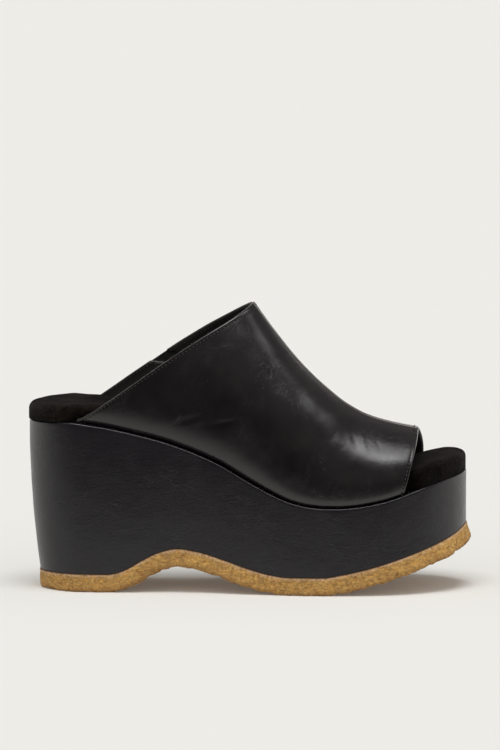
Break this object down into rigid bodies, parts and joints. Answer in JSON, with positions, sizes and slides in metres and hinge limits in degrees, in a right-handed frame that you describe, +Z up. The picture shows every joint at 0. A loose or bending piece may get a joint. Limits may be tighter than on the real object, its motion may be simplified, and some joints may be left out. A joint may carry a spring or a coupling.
{
  "type": "platform sandal",
  "caption": "Slip-on platform mule, right foot: hollow leather upper, open at heel and toe, on a leather-wrapped wedge platform with a crepe rubber outsole and a padded footbed.",
  "frame": {"origin": "on the floor, under the centre of the shoe's bounding box", "axes": "+X towards the toe, +Y towards the inner side of the right foot, +Z up"},
  "size_m": [0.2388, 0.09, 0.1545],
  "materials": {
    "crepe": "matt crumb crepe, honey tan",
    "wrap": "fine-grained, soft sheen",
    "suede": "matt nap",
    "upper_leather": "smooth, glossy",
    "elastic": "ribbed, matt"
  },
  "bodies": {
    "root": {"outsole": "crepe", "platform": "wrap", "footbed": "suede", "upper": "upper_leather", "gore": "elastic"}
  },
  "joints": []
}
